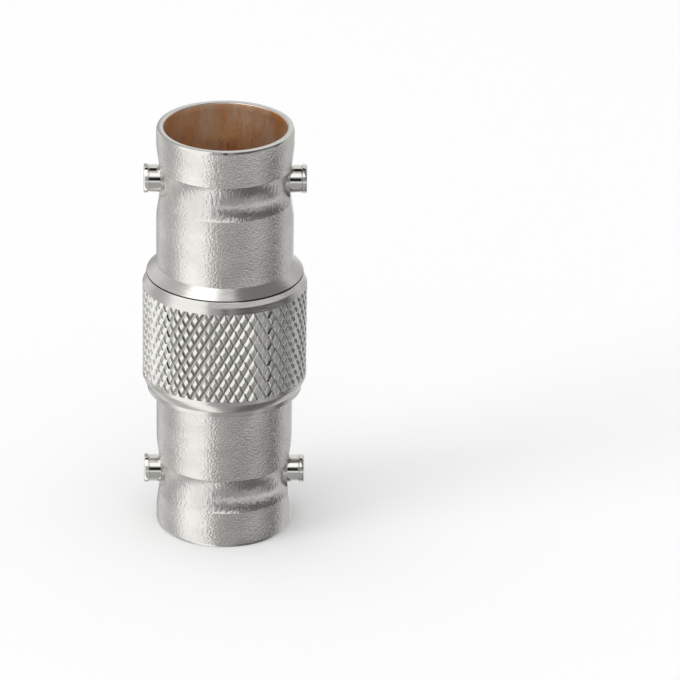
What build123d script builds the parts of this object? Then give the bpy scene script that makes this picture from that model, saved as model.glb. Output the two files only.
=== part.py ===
# Straight coaxial coupler: two bayonet sockets back to back, joined inside a knurled sleeve.
# Millimetres. Origin at the centre of the bottom rim, z up the axis, coupling studs along x.

import os
from math import cos, pi, sin

from build123d import *

os.makedirs("parts", exist_ok=True)

# Barrels
total_length = 30.25
barrel_radius = 4.80

# Socket, each depth taken from its own rim
mouth_wall = 0.50
mouth_depth = 0.60
mouth_taper_length = 2.30
socket_wall = 0.72
socket_depth = 7.40

# Coupling studs, neck groove and pads, each depth taken from its own rim
stud_depth = 3.92
stud_radius = 0.97
stud_stand = 0.88
stud_bevel = 0.08
stud_clearance = 0.01
neck_width = 2.54
neck_depth = 0.40
island_radius = 1.40
pad_depth = 0.32
pad_sweep_radius = 11.50

# Knurled sleeve: drops are taken from its largest radius
sleeve_length = 8.47
sleeve_radius = 5.78
sleeve_wall = 0.88
crest_drop = 0.01
knurl_depth = 0.20
knurl_starts = 52
knurl_rows = 11
bottom_land_height = 0.30
bottom_bevel_height = 0.64
bottom_end_drop = 0.28
top_bevel_height = 0.46
collar_drop = 0.20
collar_height = 0.40
top_end_drop = 0.26

# Joint between the shells, under the sleeve: wall by wall inwards from the sleeve's bore
flange_top = 10.86
flange_thickness = 0.36
flange_drop = 0.33
tube_wall = 0.60
spigot_wall = 1.00
spigot_length = 7.14

# Shoulder of the upper shell and the seam below it
shoulder_drop = 0.28
shoulder_height = 0.64
seam_gap = 0.10

# Lip on which each insulator rests
lip_overlap = 0.50
lip_thickness = 0.50

# Centre contact, sleeved at both ends
contact_radius = 1.05
contact_recess = 3.25
contact_bore_radius = 0.675
contact_bore_depth = 5.20
contact_slot_width = 0.14
contact_slot_length = 4.40
stop_overlap = 0.45
stop_length = 1.05

# Worked-out sizes and levels
mouth_radius = barrel_radius - mouth_wall
socket_radius = barrel_radius - socket_wall
taper_end = mouth_depth + mouth_taper_length
flange_radius = sleeve_radius - flange_drop
shoulder_radius = sleeve_radius - shoulder_drop
tube_radius = sleeve_radius - sleeve_wall
spigot_radius = tube_radius - tube_wall
spigot_top = flange_top + spigot_length
insulator_radius = spigot_radius - spigot_wall
lip_radius = insulator_radius - lip_overlap
lip_top = socket_depth + lip_thickness
sleeve_top = flange_top + sleeve_length
shoulder_base = sleeve_top + seam_gap
mid_height = total_length / 2
mid_plane = Plane.XY.offset(mid_height)


def revolved(points):
    # Ring or disc turned about z from its (radius, height) corners
    with BuildPart() as turned:
        with BuildSketch(Plane.XZ):
            with BuildLine():
                Polyline(*points, close=True)
            make_face()
        revolve(axis=Axis.Z)
    return turned.part


# Hollow of the lower socket: mouth, taper and bore down to its floor
socket_cavity = revolved([
    (0, 0),
    (mouth_radius, 0),
    (mouth_radius, mouth_depth),
    (socket_radius, taper_end),
    (socket_radius, socket_depth),
    (0, socket_depth),
])

# Cut into the outside of the lower socket: a round-bottomed neck groove that stops short of
# each stud, a leaf-shaped pad hollowed round each stud, and the holes for the studs
neck_bottom = barrel_radius - neck_depth
pad_reach = barrel_radius - pad_depth
stud_reach = barrel_radius + stud_stand
groove_start = (barrel_radius, stud_depth - neck_width / 2)
groove_end = (barrel_radius, stud_depth + neck_width / 2)
with BuildPart() as stud_zone:
    with BuildSketch(Plane.XZ):
        with BuildLine():
            ThreePointArc(groove_start, (neck_bottom, stud_depth), groove_end)
            Polyline(
                groove_end,
                (barrel_radius + neck_depth, groove_end[1]),
                (barrel_radius + neck_depth, groove_start[1]),
                groove_start,
            )
        make_face()
    revolve(axis=Axis.Z)
    with Locations((0, 0, stud_depth)):
        Cylinder(island_radius, 4 * barrel_radius, rotation=(0, 90, 0), mode=Mode.SUBTRACT)
        Cylinder(stud_radius + stud_clearance, 2 * stud_reach, rotation=(0, 90, 0))
    for side in (-1, 1):
        with Locations((side * (pad_reach + pad_sweep_radius), 0, stud_depth)):
            Cylinder(pad_sweep_radius, 2 * barrel_radius, rotation=(90, 0, 0))

# Lower shell: socket, thin flange that carries the sleeve, spigot that enters the upper shell
with BuildPart() as lower_shell:
    add(revolved([
        (lip_radius, 0),
        (barrel_radius, 0),
        (barrel_radius, flange_top - flange_thickness),
        (flange_radius, flange_top - flange_thickness),
        (flange_radius, flange_top),
        (spigot_radius, flange_top),
        (spigot_radius, spigot_top),
        (insulator_radius, spigot_top),
        (insulator_radius, lip_top),
        (lip_radius, lip_top),
    ]))
    add(socket_cavity, mode=Mode.SUBTRACT)
    add(stud_zone.part, mode=Mode.SUBTRACT)
lower_shell.part.label = "lower_shell"
export_step(lower_shell.part, "parts/lower_shell.step")

# Upper shell: socket, conical shoulder, tube that takes the spigot and carries the sleeve
with BuildPart() as upper_shell:
    add(revolved([
        (lip_radius, total_length),
        (barrel_radius, total_length),
        (barrel_radius, shoulder_base + shoulder_height),
        (shoulder_radius, shoulder_base),
        (tube_radius, shoulder_base),
        (tube_radius, flange_top),
        (spigot_radius, flange_top),
        (spigot_radius, spigot_top),
        (insulator_radius, spigot_top),
        (insulator_radius, total_length - lip_top),
        (lip_radius, total_length - lip_top),
    ]))
    add(mirror(socket_cavity, about=mid_plane), mode=Mode.SUBTRACT)
    add(mirror(stud_zone.part, about=mid_plane), mode=Mode.SUBTRACT)
upper_shell.part.label = "upper_shell"
export_step(upper_shell.part, "parts/upper_shell.step")


def polar_point(radius, angle, height):
    return Vector(radius * cos(angle), radius * sin(angle), height)


def polygon_face(*corners):
    return Face(Wire.make_polygon(corners, close=True))


def diamond_knurl(bottom, top):
    # Solid rod covered in pointed diamonds. On each row, points where two grooves cross (roots)
    # take turns with tips of diamonds (crests), and the next row is turned by half a pitch.
    half_pitch = pi / knurl_starts
    row_height = (top - bottom) / knurl_rows
    crest_radius = sleeve_radius - crest_drop

    def root(row, step):
        return polar_point(crest_radius - knurl_depth, step * half_pitch, bottom + row * row_height)

    faces = []
    for row in range(knurl_rows + 1):
        outline = []
        for step in range(row % 2, 2 * knurl_starts, 2):
            left, right = root(row, step), root(row, step + 2)
            crest = polar_point(crest_radius, (step + 1) * half_pitch, bottom + row * row_height)
            outline += [left, crest]
            if row < knurl_rows:
                above = root(row + 1, step + 1)
                faces += [polygon_face(left, crest, above), polygon_face(crest, right, above)]
            if row > 0:
                below = root(row - 1, step + 1)
                faces += [polygon_face(left, below, crest), polygon_face(crest, below, right)]
        if row in (0, knurl_rows):
            faces.append(polygon_face(*outline))
    return Solid(Shell(faces))


# Knurled sleeve: the knurl ends square against a plain band at each end
knurl_bottom = flange_top + bottom_bevel_height + bottom_land_height
knurl_top = sleeve_top - collar_height - top_bevel_height
with BuildPart() as knurled_sleeve:
    add(diamond_knurl(knurl_bottom, knurl_top))
    add(revolved([
        (0, flange_top),
        (sleeve_radius - bottom_end_drop, flange_top),
        (sleeve_radius, flange_top + bottom_bevel_height),
        (sleeve_radius, knurl_bottom),
        (0, knurl_bottom),
    ]))
    add(revolved([
        (0, knurl_top),
        (sleeve_radius, knurl_top),
        (sleeve_radius - collar_drop, knurl_top + top_bevel_height),
        (sleeve_radius - top_end_drop, sleeve_top),
        (0, sleeve_top),
    ]))
    with Locations((0, 0, flange_top + sleeve_length / 2)):
        Cylinder(tube_radius, 2 * sleeve_length, mode=Mode.SUBTRACT)
knurled_sleeve.part.label = "knurled_sleeve"
export_step(knurled_sleeve.part, "parts/knurled_sleeve.step")

# Insulators: each rests on the lip of its socket's floor, and the lower one is counterbored
# for the contact's stop, which the upper one shuts in
stop_radius = contact_radius + stop_overlap
stop_bottom = mid_height - stop_length
with BuildPart() as lower_insulator:
    add(revolved([
        (contact_radius, lip_top),
        (insulator_radius, lip_top),
        (insulator_radius, mid_height),
        (stop_radius, mid_height),
        (stop_radius, stop_bottom),
        (contact_radius, stop_bottom),
    ]))
lower_insulator.part.label = "lower_insulator"
export_step(lower_insulator.part, "parts/lower_insulator.step")

with BuildPart() as upper_insulator:
    add(revolved([
        (contact_radius, mid_height),
        (insulator_radius, mid_height),
        (insulator_radius, total_length - lip_top),
        (contact_radius, total_length - lip_top),
    ]))
upper_insulator.part.label = "upper_insulator"
export_step(upper_insulator.part, "parts/upper_insulator.step")

# Centre contact: one turned rod, drilled and slotted crosswise at both ends
bore_end = contact_recess + contact_bore_depth
contact_tip = [
    (0, bore_end),
    (contact_bore_radius, bore_end),
    (contact_bore_radius, contact_recess),
    (contact_radius, contact_recess),
]
contact_other_tip = [(radius, total_length - height) for radius, height in reversed(contact_tip)]
contact_stop = [
    (contact_radius, stop_bottom),
    (stop_radius, stop_bottom),
    (stop_radius, mid_height),
    (contact_radius, mid_height),
]
with BuildPart() as centre_contact:
    add(revolved(contact_tip + contact_stop + contact_other_tip))
    with Locations((0, 0, contact_recess), (0, 0, total_length - contact_recess)):
        for turn in (45, 135):
            Box(
                3 * contact_radius,
                contact_slot_width,
                2 * contact_slot_length,
                rotation=(0, 0, turn),
                mode=Mode.SUBTRACT,
            )
centre_contact.part.label = "centre_contact"
export_step(centre_contact.part, "parts/centre_contact.step")

# Coupling studs: pins pressed through the barrel until their flat feet reach the bore
for end_name, height in (("lower", stud_depth), ("upper", total_length - stud_depth)):
    for side_name, side in (("left", -1), ("right", 1)):
        stud_plane = Plane(origin=(0, 0, height), x_dir=(side, 0, 0), z_dir=(0, 0, 1))
        with BuildPart() as stud:
            with BuildSketch(stud_plane):
                with BuildLine():
                    Polyline(
                        (socket_radius, 0),
                        (socket_radius, stud_radius),
                        (stud_reach - stud_bevel, stud_radius),
                        (stud_reach, stud_radius - stud_bevel),
                        (stud_reach, 0),
                        close=True,
                    )
                make_face()
            revolve(axis=Axis(stud_plane.origin, stud_plane.x_dir))
        stud_name = f"{end_name}_{side_name}_stud"
        stud.part.label = stud_name
        export_step(stud.part, f"parts/{stud_name}.step")
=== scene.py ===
import math

import bmesh
import bpy
from mathutils import Matrix, Vector


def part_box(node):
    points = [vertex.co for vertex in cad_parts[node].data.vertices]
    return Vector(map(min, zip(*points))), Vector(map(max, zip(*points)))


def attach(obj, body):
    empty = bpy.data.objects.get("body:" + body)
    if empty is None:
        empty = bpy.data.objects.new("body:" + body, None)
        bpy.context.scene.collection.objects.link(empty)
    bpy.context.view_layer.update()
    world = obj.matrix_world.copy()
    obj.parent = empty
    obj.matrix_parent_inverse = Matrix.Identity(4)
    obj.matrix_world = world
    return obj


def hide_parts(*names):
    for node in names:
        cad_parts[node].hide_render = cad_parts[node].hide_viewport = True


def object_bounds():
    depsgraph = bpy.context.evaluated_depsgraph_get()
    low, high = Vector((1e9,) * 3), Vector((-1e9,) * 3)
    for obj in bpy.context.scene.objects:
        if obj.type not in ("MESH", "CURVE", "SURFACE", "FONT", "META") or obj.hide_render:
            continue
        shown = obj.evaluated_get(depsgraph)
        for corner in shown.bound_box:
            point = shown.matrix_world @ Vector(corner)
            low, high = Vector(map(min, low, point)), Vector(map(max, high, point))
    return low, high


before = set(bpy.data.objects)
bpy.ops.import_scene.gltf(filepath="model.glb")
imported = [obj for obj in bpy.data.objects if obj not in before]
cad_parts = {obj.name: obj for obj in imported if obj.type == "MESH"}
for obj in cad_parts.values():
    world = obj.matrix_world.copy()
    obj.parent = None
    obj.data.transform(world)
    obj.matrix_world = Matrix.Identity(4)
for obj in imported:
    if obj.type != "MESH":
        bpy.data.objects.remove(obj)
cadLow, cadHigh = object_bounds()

# Straight coaxial coupler. Pieces are modelled in millimetres and brought to metres at the end.
perMetre = 1000
quarterTurn = math.radians(90)


def nodeBox(node):
    # Lowest and highest corner of a CAD node, in millimetres
    low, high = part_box(node)
    return [v * perMetre for v in low], [v * perMetre for v in high]


def clearSelection():
    if bpy.context.mode != "OBJECT":
        bpy.ops.object.mode_set(mode="OBJECT")
    bpy.ops.object.select_all(action="DESELECT")


def pick(piece):
    clearSelection()
    piece.select_set(True)
    bpy.context.view_layer.objects.active = piece


def selectEdges(piece, wanted):
    # In edit mode: selects the edges for which wanted(edge) is true, and nothing else
    bpy.ops.mesh.select_mode(type="EDGE")
    bpy.ops.mesh.select_all(action="DESELECT")
    mesh = bmesh.from_edit_mesh(piece.data)
    for edge in mesh.edges:
        edge.select_set(wanted(edge))
    bmesh.update_edit_mesh(piece.data)


def stepAlong(start, profile):
    # Extrudes the selected loop and scales it along (radius, height) points
    radius, height = start
    for nextRadius, nextHeight in profile:
        bpy.ops.mesh.extrude_edges_move(TRANSFORM_OT_translate={"value": (0, 0, nextHeight - height)})
        if not math.isclose(nextRadius, radius):
            grow = nextRadius / radius
            bpy.ops.transform.resize(value=(grow, grow, 1), center_override=(0, 0, nextHeight))
        radius, height = nextRadius, nextHeight


def turnedPiece(name, profile, sides, ring=True):
    # Lathe work: one circle drawn out along the profile, closed on itself or capped at both ends
    clearSelection()
    radius, height = profile[0]
    bpy.ops.mesh.primitive_circle_add(vertices=sides, radius=radius, location=(0, 0, height))
    piece = bpy.context.object
    piece.name = name
    bpy.ops.object.transform_apply(location=True, rotation=True, scale=True)
    bpy.ops.object.mode_set(mode="EDIT")
    bpy.ops.mesh.select_mode(type="EDGE")
    bpy.ops.mesh.select_all(action="SELECT")
    stepAlong(profile[0], profile[1:])
    selectEdges(piece, lambda edge: edge.is_boundary)
    if ring:
        bpy.ops.mesh.bridge_edge_loops()
    else:
        bpy.ops.mesh.fill_holes(sides=0)
    bpy.ops.mesh.select_all(action="SELECT")
    bpy.ops.mesh.normals_make_consistent(inside=False)
    bpy.ops.object.mode_set(mode="OBJECT")
    return piece


def rod(radius, length, place, turn, sides):
    # Cutting tool: a round bar
    clearSelection()
    bpy.ops.mesh.primitive_cylinder_add(
        vertices=sides, radius=radius, depth=length, location=place, rotation=turn)
    bpy.ops.object.transform_apply(location=True, rotation=True, scale=True)
    return bpy.context.object


def cutAway(piece, tool):
    pick(piece)
    cut = piece.modifiers.new("cut", "BOOLEAN")
    cut.operation = "DIFFERENCE"
    cut.solver = "EXACT"
    cut.object = tool
    bpy.ops.object.modifier_apply(modifier=cut.name)
    bpy.data.objects.remove(tool)


def stretch(start, end, step):
    # Points at about one step apart, end included and start not
    count = max(1, round(abs(end[1] - start[1]) / step))
    return [(start[0] + (end[0] - start[0]) * i / count, start[1] + (end[1] - start[1]) * i / count)
            for i in range(1, count + 1)]


def roundedCorner(centre, radius, fromAngle, toAngle, steps=4):
    # Arc of a profile, angles in degrees from the +radius direction
    return [(centre[0] + radius * math.cos(math.radians(fromAngle + (toAngle - fromAngle) * i / steps)),
             centre[1] + radius * math.sin(math.radians(fromAngle + (toAngle - fromAngle) * i / steps)))
            for i in range(steps + 1)]


def finishPiece(piece, nodes, sharpAngle=32):
    pick(piece)
    piece.scale = [1 / perMetre] * 3
    bpy.ops.object.transform_apply(location=True, rotation=True, scale=True)
    bpy.ops.object.shade_smooth_by_angle(angle=math.radians(sharpAngle))
    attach(piece, "root")
    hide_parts(*nodes)
    print("finished", piece.name, len(piece.data.polygons), "faces")


shellHigh = nodeBox("lower_shell")[1]
topLow, topHigh = nodeBox("upper_shell")
sleeveLow, sleeveHigh = nodeBox("knurled_sleeve")
insulatorLow, insulatorHigh = nodeBox("lower_insulator")
studLow, studHigh = nodeBox("lower_right_stud")
contactLow, contactHigh = nodeBox("centre_contact")

# Barrels: both sockets are the same, so heights are measured inwards from the rim
socket = {"length": topHigh[2], "barrel": 4.80, "mouth": 4.30, "mouthDepth": 0.60, "bore": 4.08,
          "taperEnd": 2.90, "floor": 7.40, "lip": 2.80, "lipTop": insulatorLow[2], "seat": insulatorHigh[0],
          "spigot": 4.30, "spigotEnd": shellHigh[2], "rimBreak": 0.09, "rimFlat": 4.685, "rimChamfer": 0.17,
          "studDepth": (studLow[2] + studHigh[2]) / 2, "neckWidth": 2.54, "neckDepth": 0.40, "island": 1.40,
          "padDepth": 0.32, "padSweep": 11.5, "studHole": 0.98, "edge": 0.03, "sides": 192,
          "hollowStep": 0.5, "outsideStep": 0.4}
# Cutting tools: how far they run out of the skin and clear it, their lengths, and how finely they are divided
cutter = {"overrun": 0.05, "clear": 1, "through": 20, "padLength": 12, "grooveSteps": 16, "islandSides": 96,
          "padSides": 400, "holeSides": 64}


def socketShell(name, outside):
    # From the seat of the insulator out through the mouth, round the rim and along the outside
    s = socket
    hollow = [(s["seat"], s["lipTop"]), (s["lip"], s["lipTop"])]
    hollow += [(s["lip"], s["floor"]), (s["bore"], s["floor"])]
    hollow += stretch((s["bore"], s["floor"]), (s["bore"], s["taperEnd"]), s["hollowStep"])
    hollow += stretch((s["bore"], s["taperEnd"]), (s["mouth"], s["mouthDepth"]), s["hollowStep"])
    hollow += [(s["mouth"], s["rimBreak"])]
    hollow += roundedCorner((s["mouth"] + s["rimBreak"], s["rimBreak"]), s["rimBreak"], 210, 270, 3)
    # The rim's flat and its steep outer chamfer
    hollow += [(s["rimFlat"], 0), (s["rimFlat"] + 0.04, 0.01), (s["rimFlat"] + 0.055, 0.04)]
    hollow += [(s["barrel"] - 0.008, s["rimChamfer"]), (s["barrel"], s["rimChamfer"] + 0.05)]
    shell = turnedPiece(name, hollow + outside, s["sides"])

    # Neck groove: a round-bottomed ring, with an island left standing at each stud
    arcRadius = (s["neckWidth"] ** 2 / 4 + s["neckDepth"] ** 2) / (2 * s["neckDepth"])
    arcCentre = (s["barrel"] - s["neckDepth"] + arcRadius, s["studDepth"])
    reach = math.degrees(math.acos((arcCentre[0] - s["barrel"] - cutter["overrun"]) / arcRadius))
    groove = roundedCorner(arcCentre, arcRadius, 180 + reach, 180 - reach, cutter["grooveSteps"])
    clear = s["barrel"] + cutter["clear"]
    groove += [(clear, groove[-1][1]), (clear, groove[0][1])]
    neckTool = turnedPiece("neckTool", groove, s["sides"])
    alongX = (0, quarterTurn, 0)
    studPlace = (0, 0, s["studDepth"])
    cutAway(neckTool, rod(s["island"], cutter["through"], studPlace, alongX, cutter["islandSides"]))
    cutAway(shell, neckTool)
    for side in (-1, 1):
        padPlace = (side * (s["barrel"] - s["padDepth"] + s["padSweep"]), 0, s["studDepth"])
        alongY = (quarterTurn, 0, 0)
        cutAway(shell, rod(s["padSweep"], cutter["padLength"], padPlace, alongY, cutter["padSides"]))
    cutAway(shell, rod(s["studHole"], cutter["through"], studPlace, alongX, cutter["holeSides"]))
    return shell


def flipOver(piece):
    # Turns a socket modelled from its rim upwards into the one at the top
    pick(piece)
    bpy.ops.object.mode_set(mode="EDIT")
    bpy.ops.mesh.select_all(action="SELECT")
    middle = (0, 0, socket["length"] / 2)
    bpy.ops.transform.mirror(constraint_axis=(False, False, True), center_override=middle)
    bpy.ops.mesh.normals_make_consistent(inside=False)
    bpy.ops.object.mode_set(mode="OBJECT")


lower = {"flange": shellHigh[0], "flangeBase": 10.50, "flangeTop": sleeveLow[2]}
barrelStart = (socket["barrel"], socket["rimChamfer"])
flangeEdge = (lower["flange"] - socket["edge"], lower["flangeBase"] + socket["edge"])
lowerOutside = stretch(barrelStart, (socket["barrel"], lower["flangeBase"]), socket["outsideStep"])[1:]
lowerOutside += roundedCorner(flangeEdge, socket["edge"], -90, 0)
lowerOutside += [(lower["flange"], lower["flangeTop"]), (socket["spigot"], lower["flangeTop"]),
                 (socket["spigot"], socket["spigotEnd"]), (socket["seat"], socket["spigotEnd"])]
lowerBarrel = socketShell("lowerBarrel", lowerOutside)

upper = {"shoulder": topHigh[0], "shoulderTop": 10.18, "shoulderBase": 10.82, "tube": 4.90,
         "tubeEnd": socket["length"] - topLow[2], "spigotDepth": socket["length"] - socket["spigotEnd"]}
upperOutside = stretch(barrelStart, (socket["barrel"], upper["shoulderTop"]), socket["outsideStep"])[1:]
upperOutside += [(upper["shoulder"] - socket["edge"], upper["shoulderBase"] - socket["edge"]),
                 (upper["shoulder"], upper["shoulderBase"]), (upper["tube"], upper["shoulderBase"]),
                 (upper["tube"], upper["tubeEnd"]), (socket["spigot"], upper["tubeEnd"]),
                 (socket["spigot"], upper["spigotDepth"]), (socket["seat"], upper["spigotDepth"])]
upperBarrel = socketShell("upperBarrel", upperOutside)
flipOver(upperBarrel)
print("barrels modelled")

# Knurled sleeve: one diamond, repeated flat, trimmed, rolled up and closed by its plain ends
grip = {"radius": sleeveHigh[0], "base": sleeveLow[2], "top": sleeveHigh[2], "bore": 4.90, "crestDrop": 0.01,
        "starts": 52, "rows": 11, "depth": 0.14, "groove": 0.14, "lengthen": 1.12, "shorten": 0.80,
        "round": 0.035, "bottomLand": 0.94, "topLand": 0.86, "insideKnurl": 5.3}
# Distances within which corners count as one, on the flat sheet and once rolled, or as lying at a height
closeBy = {"flat": 0.0005, "trim": 0.00001, "rolled": 0.002, "height": 0.01}
grip["knurlBase"] = grip["base"] + grip["bottomLand"]
grip["knurlTop"] = grip["top"] - grip["topLand"]
grip["crest"] = grip["radius"] - grip["crestDrop"]


def knurlSheet():
    # The flat cut-out of the knurl: x goes round, z up, and the crests lie at y 0
    pitch = 2 * math.pi * grip["crest"] / grip["starts"]
    height = grip["knurlTop"] - grip["knurlBase"]
    rise = 2 * height / grip["rows"]
    clearSelection()
    bpy.ops.mesh.primitive_circle_add(vertices=4, radius=1, fill_type="NGON", rotation=(quarterTurn, 0, 0))
    sheet = bpy.context.object
    sheet.name = "gripSleeve"
    sheet.scale = (pitch / 2, rise / 2, 1)
    sheet.location = (0, grip["depth"], 0)
    bpy.ops.object.transform_apply(location=True, rotation=True, scale=True)
    bpy.ops.object.mode_set(mode="EDIT")
    bpy.ops.mesh.select_mode(type="FACE")
    bpy.ops.mesh.select_all(action="SELECT")
    bpy.ops.mesh.inset(thickness=grip["groove"], depth=0)
    bpy.ops.transform.translate(value=(0, -grip["depth"], 0))
    # The grooves that lean right are cut wider, so each top gets shorter along the ones that lean left
    mesh = bmesh.from_edit_mesh(sheet.data)
    for corner in [v for v in mesh.verts if v.select]:
        along = (corner.co.z / rise + corner.co.x / pitch) * grip["lengthen"]
        across = (corner.co.z / rise - corner.co.x / pitch) * grip["shorten"]
        corner.co.x, corner.co.z = (along - across) * pitch / 2, (along + across) * rise / 2
    bmesh.update_edit_mesh(sheet.data)
    bpy.ops.mesh.bevel(offset=grip["round"], segments=3, affect="EDGES")
    bpy.ops.object.mode_set(mode="OBJECT")
    # A second diamond between the rows, then both repeated round and up
    pick(sheet)
    bpy.ops.object.duplicate()
    other = bpy.context.object
    other.location = (pitch / 2, 0, rise / 2)
    bpy.ops.object.transform_apply(location=True, rotation=True, scale=True)
    sheet.select_set(True)
    bpy.context.view_layer.objects.active = sheet
    bpy.ops.object.join()
    for count, offset in ((grip["starts"], (pitch, 0, 0)), (grip["rows"] // 2 + 2, (0, 0, rise))):
        repeat = sheet.modifiers.new("repeat", "ARRAY")
        repeat.count = count
        repeat.use_relative_offset = False
        repeat.use_constant_offset = True
        repeat.constant_offset_displace = offset
        repeat.use_merge_vertices = True
        repeat.merge_threshold = closeBy["flat"]
        bpy.ops.object.modifier_apply(modifier=repeat.name)
    bpy.ops.object.mode_set(mode="EDIT")
    for cutHeight, below, above in ((0, True, False), (height, False, True)):
        bpy.ops.mesh.select_all(action="SELECT")
        bpy.ops.mesh.bisect(plane_co=(0, 0, cutHeight), plane_no=(0, 0, 1), clear_inner=below,
                            clear_outer=above, threshold=closeBy["trim"])
    bpy.ops.object.mode_set(mode="OBJECT")
    return sheet


gripSleeve = knurlSheet()
roll = gripSleeve.modifiers.new("roll", "SIMPLE_DEFORM")
roll.deform_method = "BEND"
roll.deform_axis = "Z"
# The zigzag ends of the sheet overlap by half a pitch
roll.angle = 2 * math.pi * (grip["starts"] + 0.5) / grip["starts"]
bpy.ops.object.modifier_apply(modifier=roll.name)
gripSleeve.location = (0, -grip["crest"], grip["knurlBase"])
bpy.ops.object.transform_apply(location=True, rotation=True, scale=True)
bpy.ops.object.mode_set(mode="EDIT")
bpy.ops.mesh.select_all(action="SELECT")
bpy.ops.mesh.remove_doubles(threshold=closeBy["rolled"])

# Plain ends: each outline runs from the knurl to the end face, as drops from the sleeve's radius and
# distances from that end of the sleeve
bottomOutline = [(0, 0.90), (0, 0.66), (0.015, 0.60), (0.25, 0.07), (0.28, 0.03), (0.31, 0)]
topOutline = [(0, 0.84), (0.012, 0.81), (0.19, 0.41), (0.25, 0.03), (0.27, 0)]
bottomEnd = [(grip["radius"] - drop, grip["base"] + inset) for drop, inset in bottomOutline]
bottomEnd.append((grip["bore"], grip["base"]))
topEnd = [(grip["radius"] - drop, grip["top"] - inset) for drop, inset in topOutline]
topEnd.append((grip["bore"], grip["top"]))
for knurlEdge, end in ((grip["knurlBase"], bottomEnd), (grip["knurlTop"], topEnd)):
    selectEdges(gripSleeve, lambda edge: edge.is_boundary
                and all(abs(v.co.z - knurlEdge) < closeBy["height"] for v in edge.verts))
    bpy.ops.mesh.extrude_edges_move()
    # The end wall of the grooves reaches out to the plain band
    mesh = bmesh.from_edit_mesh(gripSleeve.data)
    for corner in [v for v in mesh.verts if v.select]:
        corner.co.xy = corner.co.xy.normalized() * grip["radius"]
    bmesh.update_edit_mesh(gripSleeve.data)
    stepAlong((grip["radius"], knurlEdge), end)
selectEdges(gripSleeve, lambda edge: edge.is_boundary)
bpy.ops.mesh.bridge_edge_loops()
bpy.ops.mesh.select_all(action="SELECT")
bpy.ops.mesh.normals_make_consistent(inside=False)
bpy.ops.object.mode_set(mode="OBJECT")
print("sleeve modelled", len(gripSleeve.data.polygons), "faces")

# Coupling studs: turned pin with a slightly wider head, laid along x and copied to its four places
stud = {"foot": studLow[0], "tip": studHigh[0], "radius": (studHigh[2] - studLow[2]) / 2, "head": 1.02,
        "headLength": 0.34, "ring": 0.05, "dish": 0.4, "sides": 96}
body, head, tip, neck = stud["radius"], stud["head"], stud["tip"], stud["tip"] - stud["headLength"]
# The body with a bevelled foot, up to the ring cut behind the head
pin = [(body - 0.07, stud["foot"]), (body, stud["foot"] + 0.04), (body, neck - 0.08),
       (body - stud["ring"], neck - 0.055), (body - stud["ring"], neck - 0.015)]
# The head with its rounded edge, and the shallow dish in its end
pin += [(head - 0.02, neck), (head, neck + 0.03), (head, tip - 0.10), (head - 0.02, tip - 0.045),
        (head - 0.07, tip - 0.008), (head - 0.13, tip), (head - 0.22, tip - 0.004),
        (head - 0.25, tip - 0.03), (stud["dish"] * head, tip - 0.035)]
firstStud = turnedPiece("stud", pin, stud["sides"], ring=False)
studs = []
for end, depth in (("lower", socket["studDepth"]), ("upper", socket["length"] - socket["studDepth"])):
    for sideName, side in (("Left", -1), ("Right", 1)):
        pick(firstStud)
        bpy.ops.object.duplicate()
        piece = bpy.context.object
        piece.name = end + sideName + "Stud"
        piece.rotation_euler = (0, math.radians(90 * side), 0)
        piece.location = (0, 0, depth)
        bpy.ops.object.transform_apply(location=True, rotation=True, scale=True)
        studs.append(piece)
bpy.data.objects.remove(firstStud)
print("studs modelled")

# Centre contact: turned rod with a stop, drilled, slotted and bevelled at both ends
contact = {"radius": 1.05, "recess": contactLow[2], "bevel": 0.11, "bore": 0.675, "boreDepth": 5.20,
           "boreFloor": 0.4, "boreStep": 0.6, "countersink": 0.16, "stop": contactHigh[0], "stopLength": 1.05,
           "slot": 0.14, "slotLength": 4.40, "slotTurns": (45, 135), "sides": 96}
c = contact
boreEnd = c["recess"] + c["boreDepth"]
sink = c["bore"] + c["countersink"]
lowerTip = [(c["bore"] * c["boreFloor"], boreEnd), (c["bore"], boreEnd)]
lowerTip += stretch((c["bore"], boreEnd), (c["bore"], c["recess"] + c["countersink"]), c["boreStep"])
lowerTip += [(sink, c["recess"] + 0.01), (sink + 0.02, c["recess"])]
lowerTip += roundedCorner((c["radius"] - c["bevel"], c["recess"] + c["bevel"]), c["bevel"], -90, 0)
stopTop = socket["length"] / 2
stopRing = [(c["radius"], stopTop - c["stopLength"]), (c["stop"], stopTop - c["stopLength"]),
            (c["stop"], stopTop), (c["radius"], stopTop)]
upperTip = [(radius, socket["length"] - height) for radius, height in reversed(lowerTip)]
contactPin = turnedPiece("contactPin", lowerTip + stopRing + upperTip, c["sides"], ring=False)
for end in (c["recess"], socket["length"] - c["recess"]):
    for slotTurn in c["slotTurns"]:
        clearSelection()
        bpy.ops.mesh.primitive_cube_add(size=1, location=(0, 0, end), rotation=(0, 0, math.radians(slotTurn)))
        blade = bpy.context.object
        blade.scale = (4 * c["radius"], c["slot"], 2 * c["slotLength"])
        bpy.ops.object.transform_apply(location=True, rotation=True, scale=True)
        cutAway(contactPin, blade)
print("contact modelled")


# Materials
def colourOf(code):
    # sRGB hex to the linear values that shaders use
    channels = [int(code[i:i + 2], 16) / 255 for i in (1, 3, 5)]
    return tuple(v / 12.92 if v <= 0.04045 else ((v + 0.055) / 1.055) ** 2.4 for v in channels) + (1,)


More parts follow.
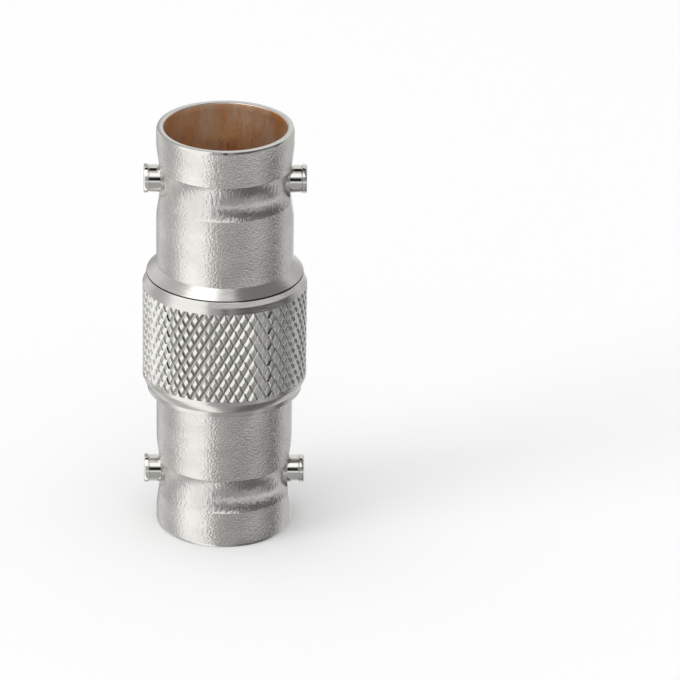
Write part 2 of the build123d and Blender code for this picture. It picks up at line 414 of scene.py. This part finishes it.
def addNode(owner, kind, settings=None, links=None):
    # links: input name or number -> value, or (node, output name). Sockets that share a name go by number:
    # in a colour mix 6 and 7 are the colours, in a number mix 2 and 3 are the values, and 0 is the factor.
    node = owner.node_tree.nodes.new(kind)
    for key, value in (settings or {}).items():
        setattr(node, key, value)
    for key, value in (links or {}).items():
        if isinstance(value, tuple) and len(value) == 2 and hasattr(value[0], "outputs"):
            owner.node_tree.links.new(value[0].outputs[value[1]], node.inputs[key])
        else:
            node.inputs[key].default_value = value
    return node


def newMaterial(name):
    material = bpy.data.materials.new(name)
    material.use_nodes = True
    material.node_tree.nodes.clear()
    return material


def platedMetal(name, light, dark, roughness, grain, height, shape=(1, 1, 1), patch=2.5, metallic=1.0):
    # grain: size in mm of the marks under the plating, height: their depth in mm, shape: how they are drawn
    # out, where a small number lengthens them, patch: size in mm of the clouds in the colour
    material = newMaterial(name)
    place = addNode(material, "ShaderNodeTexCoord")
    drawn = addNode(material, "ShaderNodeMapping", None, {"Vector": (place, "Object"), "Scale": shape})
    clouds = addNode(material, "ShaderNodeTexNoise", None,
                     {"Vector": (drawn, "Vector"), "Scale": perMetre / patch, "Detail": 3.0,
                      "Roughness": 0.6})
    spread = addNode(material, "ShaderNodeMapRange", None,
                     {"Value": (clouds, "Fac"), "From Min": 0.35, "From Max": 0.65})
    tone = addNode(material, "ShaderNodeMix", {"data_type": "RGBA"},
                   {0: (spread, "Result"), 6: colourOf(dark), 7: colourOf(light)})
    marks = addNode(material, "ShaderNodeTexNoise", None,
                    {"Vector": (drawn, "Vector"), "Scale": perMetre / grain, "Detail": 2.0, "Roughness": 0.5})
    shine = addNode(material, "ShaderNodeMapRange", None,
                    {"Value": (marks, "Fac"), "From Min": 0.3, "From Max": 0.7, "To Min": roughness * 0.8,
                     "To Max": roughness * 1.2})
    bump = addNode(material, "ShaderNodeBump", None,
                   {"Height": (marks, "Fac"), "Strength": 1.0, "Distance": height / perMetre})
    metal = addNode(material, "ShaderNodeBsdfPrincipled", None,
                    {"Base Color": (tone, 2), "Metallic": metallic, "Roughness": (shine, "Result"),
                     "Normal": (bump, "Normal")})
    addNode(material, "ShaderNodeOutputMaterial", None, {"Surface": (metal, "BSDF")})
    return material


# Nickel over peened brass: satin, with the fine wavy skin that the tumbling leaves
satinNickel = platedMetal("satinNickel", "#CECCC8", "#C2C0BB", 0.17, 0.16, 0.040, (1, 1, 1.25))
# The same plating where the neck tool burnished it: streaks that run up and down the groove
burnishedNickel = platedMetal("burnishedNickel", "#CECCC8", "#BEBCB8", 0.24, 0.18, 0.042, (1, 1, 0.3))
# Thin plating inside the bore: dull, over a brass tone. Its pale and warm colour is laid in upright clouds, a
# painted reflection of the bands of light from above
boreNickelPaintedBands = platedMetal("boreNickelPaintedBands", "#E4D6C4", "#DC9A4C", 0.33, 0.20, 0.020, (1, 1, 0.35), patch=3.0,
                         metallic=0.85)
# Shoulder, flange and plain ends of the sleeve: smooth, with faint turning lines that run round
turnedNickel = platedMetal("turnedNickel", "#CECCC8", "#C4C2BE", 0.21, 0.10, 0.008, (0.12, 0.12, 1))
# Bright cut faces: the rims, and the flanks and tops of the knurl
cutNickel = platedMetal("cutNickel", "#CECDC9", "#C6C5C1", 0.11, 0.15, 0.005)
# Polished nickel of the studs: sharp reflections
polishedNickel = platedMetal("polishedNickel", "#DAD9D4", "#D2D1CC", 0.06, 0.25, 0.0006)
# Gold over nickel: deep yellow, near mirror
goldPlate = platedMetal("goldPlate", "#F2C76E", "#E8B85C", 0.14, 0.15, 0.0008)


def naturalPtfe():
    # PTFE turned from rod: dense white and waxy, with a soft sheen
    material = newMaterial("naturalPtfe")
    place = addNode(material, "ShaderNodeTexCoord")
    # The haze has patches of 0.8 mm and stands 4 micrometres high
    haze = addNode(material, "ShaderNodeTexNoise", None,
                   {"Vector": (place, "Object"), "Scale": perMetre / 0.8, "Detail": 3.0})
    tone = addNode(material, "ShaderNodeMix", {"data_type": "RGBA"},
                   {0: (haze, "Fac"), 6: colourOf("#E9E7E1"), 7: colourOf("#F2F1EC")})
    bump = addNode(material, "ShaderNodeBump", None,
                   {"Height": (haze, "Fac"), "Strength": 0.6, "Distance": 0.000004})
    plastic = addNode(material, "ShaderNodeBsdfPrincipled", None,
                      {"Base Color": (tone, 2), "Roughness": 0.42, "IOR": 1.35, "Normal": (bump, "Normal")})
    addNode(material, "ShaderNodeOutputMaterial", None, {"Surface": (plastic, "BSDF")})
    return material


ptfe = naturalPtfe()


def dress(piece, *materials):
    piece.data.materials.clear()
    for material in materials:
        piece.data.materials.append(material)


# Each face of a shell takes the finish of the place where its centre lies
shellFinish = {"barrel": satinNickel, "bore": boreNickelPaintedBands, "groove": burnishedNickel, "shoulder": turnedNickel,
               "rim": cutNickel}
finishNumber = {part: number for number, part in enumerate(shellFinish)}
margin = {"skin": 0.02, "groove": 0.012, "facing": 0.01}
for shell, rim, inwards in ((lowerBarrel, 0, 1), (upperBarrel, socket["length"], -1)):
    dress(shell, *shellFinish.values())
    for face in shell.data.polygons:
        out = face.center.xy.length
        depth = inwards * (face.center.z - rim)
        outward = face.normal.x * face.center.x + face.normal.y * face.center.y
        atNeck = abs(depth - socket["studDepth"]) < socket["neckWidth"] / 2
        mouthSkin = socket["mouth"] + margin["skin"]
        if out > mouthSkin and depth < socket["rimChamfer"]:
            face.material_index = finishNumber["rim"]
        elif out > socket["barrel"] + margin["skin"]:
            face.material_index = finishNumber["shoulder"]
        elif out < mouthSkin and depth < socket["lipTop"] and outward < margin["facing"]:
            face.material_index = finishNumber["bore"]
        elif atNeck and socket["mouth"] < out < socket["barrel"] - margin["groove"]:
            face.material_index = finishNumber["groove"]
# The sleeve's ends keep its first finish, and its knurl takes the second
knurlFinish = 1
dress(gripSleeve, turnedNickel, cutNickel)
for face in gripSleeve.data.polygons:
    atKnurl = grip["knurlBase"] < face.center.z < grip["knurlTop"]
    if atKnurl and face.center.xy.length > grip["insideKnurl"]:
        face.material_index = knurlFinish
dress(contactPin, goldPlate)
for piece in studs:
    dress(piece, polishedNickel)
for node in ("lower_insulator", "upper_insulator"):
    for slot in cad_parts[node].material_slots:
        slot.material = ptfe

finishPiece(lowerBarrel, ["lower_shell"])
finishPiece(upperBarrel, ["upper_shell"])
finishPiece(gripSleeve, ["knurled_sleeve"], sharpAngle=13.5)
finishPiece(contactPin, ["centre_contact"])
for piece, node in zip(studs, ("lower_left_stud", "lower_right_stud", "upper_left_stud", "upper_right_stud")):
    finishPiece(piece, [node])

# Studio: white floor, two soft boxes, and a tent of cards that only reflections see
studio = {"floorSize": 3.0, "floorDrop": 0.00002, "paper": "#FBFBFB", "air": 0.70, "topBox": 8.6,
          "sideBox": 13.0, "aim": (0, 0, 0.015), "tent": 0.9, "tentLevel": 0.95, "heightSoft": 3}
# Each card covers a turn round the object, from the camera's side, and a range of heights, in degrees.
# A later card hides the earlier ones that it crosses.
cards = [{"name": "backLeft", "turn": (-176, -152), "height": (-95, 60), "soft": (4, 10), "level": 0.50},
         {"name": "backRight", "turn": (130, 162), "height": (-95, 60), "soft": (10, 8), "level": 0.68},
         {"name": "leftWall", "turn": (-132, -80), "height": (-95, 95), "soft": (12, 6), "level": 0.88},
         {"name": "leftFlag", "turn": (-120, -92), "height": (-95, 60), "soft": (8, 8), "level": 0.66},
         {"name": "leftBox", "turn": (-80, -24), "height": (-95, 95), "soft": (6, 3), "level": 1.5},
         {"name": "frontShade", "turn": (-24, 112), "height": (-95, 95), "soft": (4, 22), "level": 0.54},
         {"name": "frontTable", "turn": (-4, 112), "height": (-95, 95), "soft": (12, 22), "level": 0.44},
         {"name": "rightStrip", "turn": (48, 60), "height": (-95, 95), "soft": (5, 5), "level": 0.70},
         {"name": "rightFlag", "turn": (85, 101), "height": (-95, 95), "soft": (7, 7), "level": 0.15},
         {"name": "darkTable", "turn": (30, 118), "height": (-80, -38), "soft": (14, 8), "level": 0.20},
         {"name": "farTable", "turn": (-20, 112), "height": (-13, 1), "soft": (6, 12), "level": 0.90},
         {"name": "cameraWall", "turn": (-4, 4), "height": (3, 27), "soft": (2, 2), "level": 0.02},
         {"name": "rightShade", "turn": (14, 112), "height": (13, 31), "soft": (6, 12), "level": 0.14},
         {"name": "leftTop", "turn": (-78, -20), "height": (48, 86), "soft": (6, 6), "level": 2.2},
         {"name": "frontBox", "turn": (-22, 25), "height": (36, 68), "soft": (6, 6), "level": 1.4},
         {"name": "rightCeiling", "turn": (26, 118), "height": (34, 82), "soft": (6, 12), "level": 0.26},
         {"name": "ceiling", "turn": (-22, 26), "height": (68, 82), "soft": (6, 6), "level": 0.70},
         {"name": "ceilingFlag", "turn": (-185, 185), "height": (85, 95), "soft": (1, 2), "level": 0.02},
         {"name": "leftRoofFlag", "turn": (-185, -110), "height": (66, 95), "soft": (2, 6), "level": 0.02},
         {"name": "rightRoofFlag", "turn": (110, 185), "height": (66, 95), "soft": (6, 2), "level": 0.02}]


def softBox(name, place, size, power):
    # A lamp aimed at the coupler. Reflections don't see it, because the tent shows its own cards instead.
    light = bpy.data.lights.new(name, "AREA")
    light.shape = "RECTANGLE"
    light.size, light.size_y = size
    light.energy = power
    lamp = bpy.data.objects.new(name, light)
    bpy.context.scene.collection.objects.link(lamp)
    lamp.location = place
    lamp.rotation_euler = (Vector(studio["aim"]) - Vector(place)).to_track_quat("-Z", "Y").to_euler()
    lamp.visible_glossy = False


softBox("topLamp", (-0.15, -0.30, 1.65), (1.5, 1.5), studio["topBox"])
softBox("sideLamp", (-1.75, -0.95, 0.80), (1.0, 1.4), studio["sideBox"])

clearSelection()
bpy.ops.mesh.primitive_plane_add(size=studio["floorSize"], location=(0, 0, -studio["floorDrop"]))
floor = bpy.context.object
floor.name = "floor"
whitePaper = newMaterial("whitePaper")
paper = addNode(whitePaper, "ShaderNodeBsdfDiffuse", None, {"Color": colourOf(studio["paper"])})
addNode(whitePaper, "ShaderNodeOutputMaterial", None, {"Surface": (paper, "BSDF")})
dress(floor, whitePaper)
floor.visible_glossy = False

air = bpy.data.worlds.new("studioAir")
bpy.context.scene.world = air
air.use_nodes = True
air.node_tree.nodes.clear()
rays = addNode(air, "ShaderNodeLightPath")
seen = addNode(air, "ShaderNodeMath", {"operation": "ADD"},
               {0: (rays, "Is Camera Ray"), 1: (rays, "Is Glossy Ray")})
direct = addNode(air, "ShaderNodeMath", {"operation": "ADD", "use_clamp": True},
                 {0: (seen, "Value"), 1: (rays, "Is Transmission Ray")})
brightness = addNode(air, "ShaderNodeMix", {"data_type": "FLOAT"},
                     {0: (direct, "Value"), 2: studio["air"], 3: 1.0})
sky = addNode(air, "ShaderNodeBackground", None, {"Color": (1, 1, 1, 1), "Strength": (brightness, 0)})
addNode(air, "ShaderNodeOutputWorld", None, {"Surface": (sky, "Background")})

clearSelection()
bpy.ops.mesh.primitive_uv_sphere_add(segments=48, ring_count=24, radius=studio["tent"])
tent = bpy.context.object
tent.name = "tent"
tentCloth = newMaterial("tentCloth")
where = addNode(tentCloth, "ShaderNodeTexCoord")
facing = addNode(tentCloth, "ShaderNodeVectorMath", {"operation": "NORMALIZE"}, {0: (where, "Object")})
axes = addNode(tentCloth, "ShaderNodeSeparateXYZ", None, {0: (facing, "Vector")})
front = addNode(tentCloth, "ShaderNodeMath", {"operation": "MULTIPLY"}, {0: (axes, "Y"), 1: -1.0})
turned = addNode(tentCloth, "ShaderNodeMath", {"operation": "ARCTAN2"}, {0: (axes, "X"), 1: (front, "Value")})
raised = addNode(tentCloth, "ShaderNodeMath", {"operation": "ARCSINE"}, {0: (axes, "Z")})
turn = addNode(tentCloth, "ShaderNodeMath", {"operation": "DEGREES"}, {0: (turned, "Value")})
rise = addNode(tentCloth, "ShaderNodeMath", {"operation": "DEGREES"}, {0: (raised, "Value")})


def between(angle, start, end, softStart, softEnd):
    # 1 between two angles and 0 outside them, with soft edges
    rising = addNode(tentCloth, "ShaderNodeMapRange", {"interpolation_type": "SMOOTHSTEP"},
                     {"Value": (angle, "Value"), "From Min": start - softStart,
                      "From Max": start + softStart})
    falling = addNode(tentCloth, "ShaderNodeMapRange", {"interpolation_type": "SMOOTHSTEP"},
                      {"Value": (angle, "Value"), "From Min": end + softEnd,
                       "From Max": end - softEnd})
    return addNode(tentCloth, "ShaderNodeMath", {"operation": "MULTIPLY"},
                   {0: (rising, "Result"), 1: (falling, "Result")})


tentLight = addNode(tentCloth, "ShaderNodeValue")
tentLight.outputs[0].default_value = studio["tentLevel"]
for card in cards:
    wide = between(turn, *card["turn"], *card["soft"])
    tall = between(rise, *card["height"], studio["heightSoft"], studio["heightSoft"])
    covered = addNode(tentCloth, "ShaderNodeMath", {"operation": "MULTIPLY"},
                      {0: (wide, "Value"), 1: (tall, "Value")})
    tentLight = addNode(tentCloth, "ShaderNodeMix", {"data_type": "FLOAT", "label": card["name"]},
                        {0: (covered, "Value"), 2: (tentLight, 0), 3: card["level"]})
glow = addNode(tentCloth, "ShaderNodeEmission", None, {"Color": (1, 1, 1, 1), "Strength": (tentLight, 0)})
addNode(tentCloth, "ShaderNodeOutputMaterial", None, {"Surface": (glow, "Emission")})
dress(tent, tentCloth)
for ray in ("camera", "diffuse", "transmission", "volume_scatter", "shadow"):
    setattr(tent, "visible_" + ray, False)
print("studio set")

# Camera: stands 381 mm off, a little above, and is turned so that the object fills the left of the frame
view = {"distance": 0.381, "elevation": 24.69, "yaw": 1.221, "pitch": -0.155, "roll": -0.26, "lens": 286.6,
        "sensor": 36, "near": 0.01, "far": 20}
midHeight = (cadLow[2] + cadHigh[2]) / 2
tilt = math.radians(view["elevation"])
stand = Vector((0, -math.cos(tilt), math.sin(tilt))) * view["distance"] + Vector((0, 0, midHeight))
ahead = Vector((0, math.cos(tilt), -math.sin(tilt)))
across = Vector((1, 0, 0))
upward = across.cross(ahead)
yaw = Matrix.Rotation(math.radians(-view["yaw"]), 3, upward)
ahead, across = yaw @ ahead, yaw @ across
pitch = Matrix.Rotation(math.radians(view["pitch"]), 3, across)
ahead, upward = pitch @ ahead, pitch @ upward
roll = Matrix.Rotation(math.radians(view["roll"]), 3, ahead)
across, upward = roll @ across, roll @ upward
lens = bpy.data.cameras.new("camera")
lens.sensor_width = view["sensor"]
lens.lens = view["lens"]
lens.clip_start = view["near"]
lens.clip_end = view["far"]
camera = bpy.data.objects.new("camera", lens)
bpy.context.scene.collection.objects.link(camera)
camera.matrix_world = Matrix.Translation(stand) @ Matrix((across, upward, -ahead)).transposed().to_4x4()
bpy.context.scene.camera = camera
bpy.context.scene.view_settings.view_transform = "Standard"
